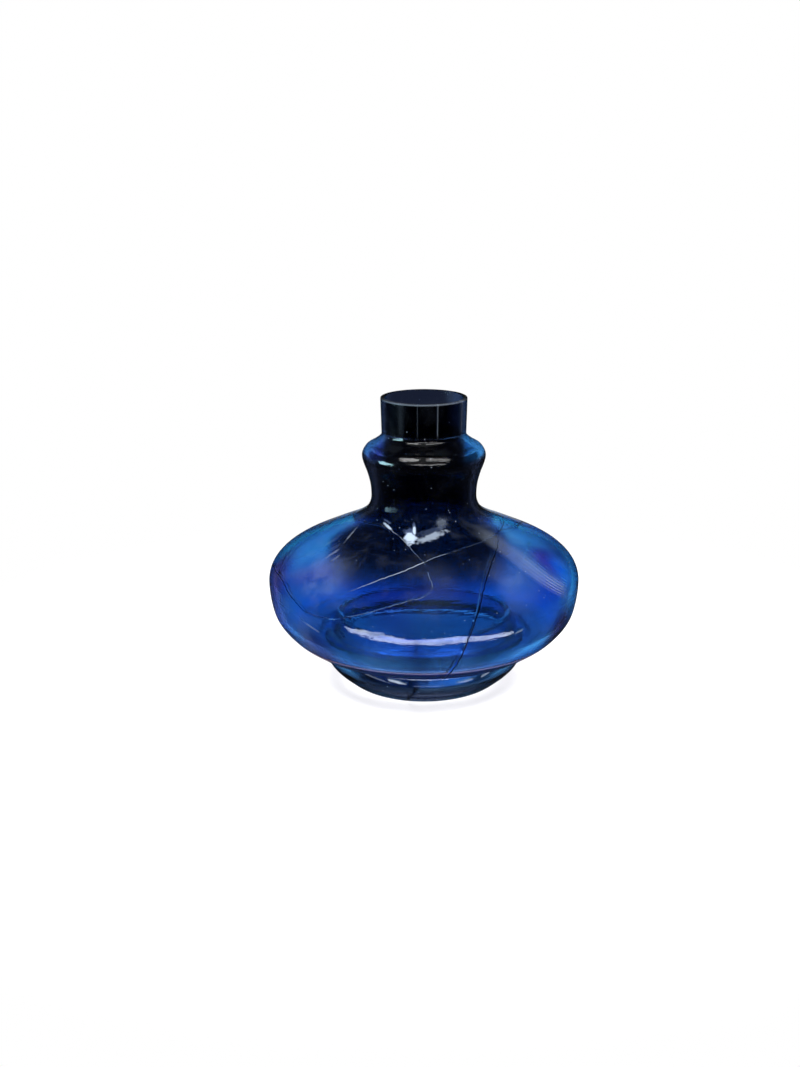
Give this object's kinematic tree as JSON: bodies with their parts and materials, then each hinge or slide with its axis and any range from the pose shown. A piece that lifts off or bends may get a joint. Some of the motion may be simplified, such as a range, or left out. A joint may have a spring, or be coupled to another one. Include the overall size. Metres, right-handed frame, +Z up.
{
  "type": "squat glass vessel",
  "caption": "Squat round vessel of blue glass with a collared neck and a bowl-shaped foot, broken and mended with thin resin seams.",
  "frame": {"origin": "on the floor under the middle of the foot", "axes": "+Z up along the neck, +X to the right and -Y towards the viewer of the side with the long break"},
  "size_m": [0.16, 0.16, 0.1502],
  "materials": {
    "dark_cobalt_glass": "polished, very deep blue",
    "cobalt_glass": "polished, clear blue",
    "cured_resin": "thin dark cured resin"
  },
  "bodies": {
    "root": {"neck_sherd": "dark_cobalt_glass", "left_shoulder_sherd": "cobalt_glass", "sliver_sherd": "cobalt_glass", "front_sherd": "cobalt_glass", "right_sherd": "cobalt_glass", "back_sherd": "cobalt_glass", "foot_left_sherd": "cobalt_glass", "foot_right_sherd": "cobalt_glass", "seam_neck_right": "cured_resin", "seam_neck_left": "cured_resin", "seam_neck_back": "cured_resin", "seam_right_shoulder": "cured_resin", "seam_sliver_upper": "cured_resin", "seam_sliver_lower": "cured_resin", "seam_left_rim": "cured_resin", "seam_left_shoulder": "cured_resin", "seam_front": "cured_resin", "seam_foot": "cured_resin", "foot_joint": "cured_resin"}
  },
  "joints": []
}
